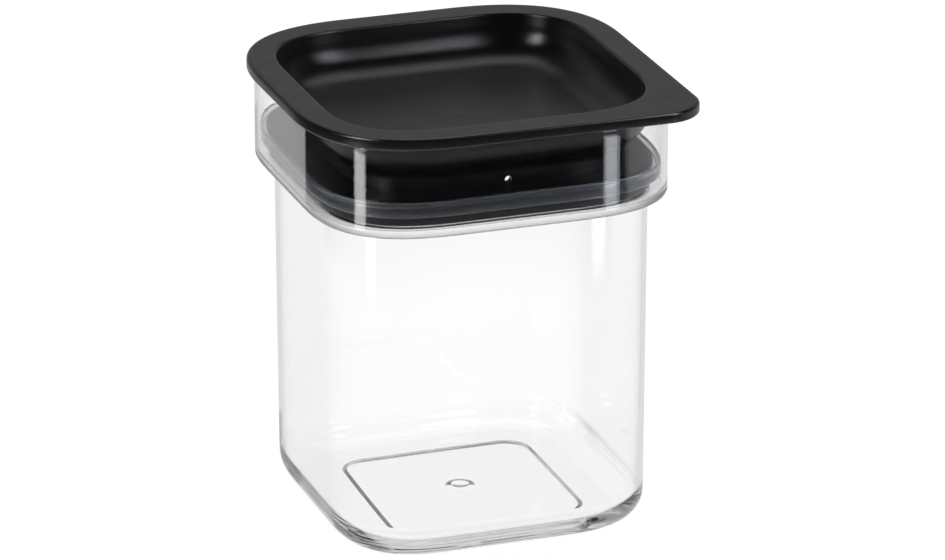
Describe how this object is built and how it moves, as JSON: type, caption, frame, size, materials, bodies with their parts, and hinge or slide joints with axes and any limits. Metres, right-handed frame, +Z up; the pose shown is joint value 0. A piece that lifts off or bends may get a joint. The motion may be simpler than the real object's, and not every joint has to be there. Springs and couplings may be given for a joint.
{
  "type": "square food storage container",
  "caption": "Clear square food storage container with a wider collar, a black dished lid that lifts off by its grip corner, and a soft seal ring round the lid's plug.",
  "frame": {"origin": "centre of the square footprint on the surface that the foot stands on", "axes": "+Z up the container, -Y out of the front face, +X to the right seen from the front; the lid's grip corner points to +X -Y"},
  "size_m": [0.0996, 0.0996, 0.117],
  "materials": {
    "clear_plastic": "clear, polished",
    "black_plastic": "satin",
    "seal_rubber": "translucent, satin"
  },
  "bodies": {
    "container": {"container_body": "clear_plastic"},
    "cover": {"lid": "black_plastic", "seal_ring": "seal_rubber"}
  },
  "joints": [
    {"name": "lid_lift", "type": "slide", "parent": "container", "child": "cover", "axis": [0, 0, 1], "range_m": [0, 0.06]}
  ]
}
